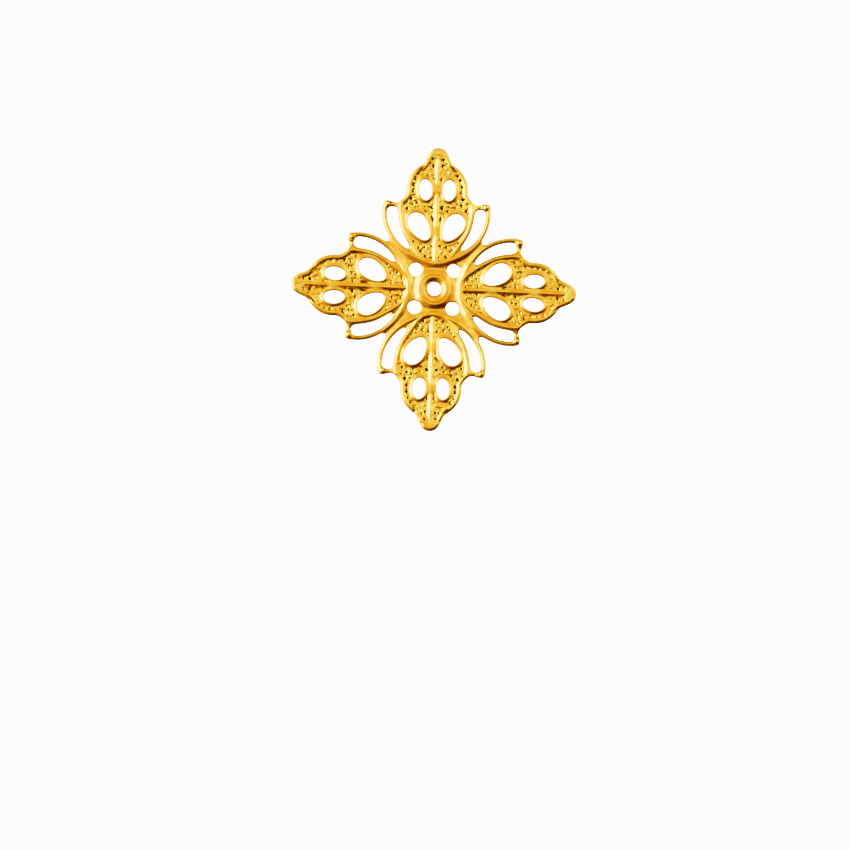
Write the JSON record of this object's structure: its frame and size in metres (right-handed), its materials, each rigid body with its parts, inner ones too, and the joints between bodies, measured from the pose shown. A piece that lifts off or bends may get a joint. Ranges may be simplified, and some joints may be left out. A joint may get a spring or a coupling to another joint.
{
  "type": "filigree square stamping",
  "caption": "Flat pierced brass stamping with leaf petals set as a cross round a raised eyelet, for joining, riveting or gluing into jewellery.",
  "frame": {"origin": "centre of the eyelet, on the flat back", "axes": "+Z out of the raised face; +X and +Y towards two of the petal tips"},
  "size_m": [0.0354, 0.0354, 0.0012],
  "materials": {
    "gold_plate": "bright gold plating over struck brass, rubbed bright on the raised lines"
  },
  "bodies": {
    "root": {"stamping": "gold_plate"}
  },
  "joints": []
}
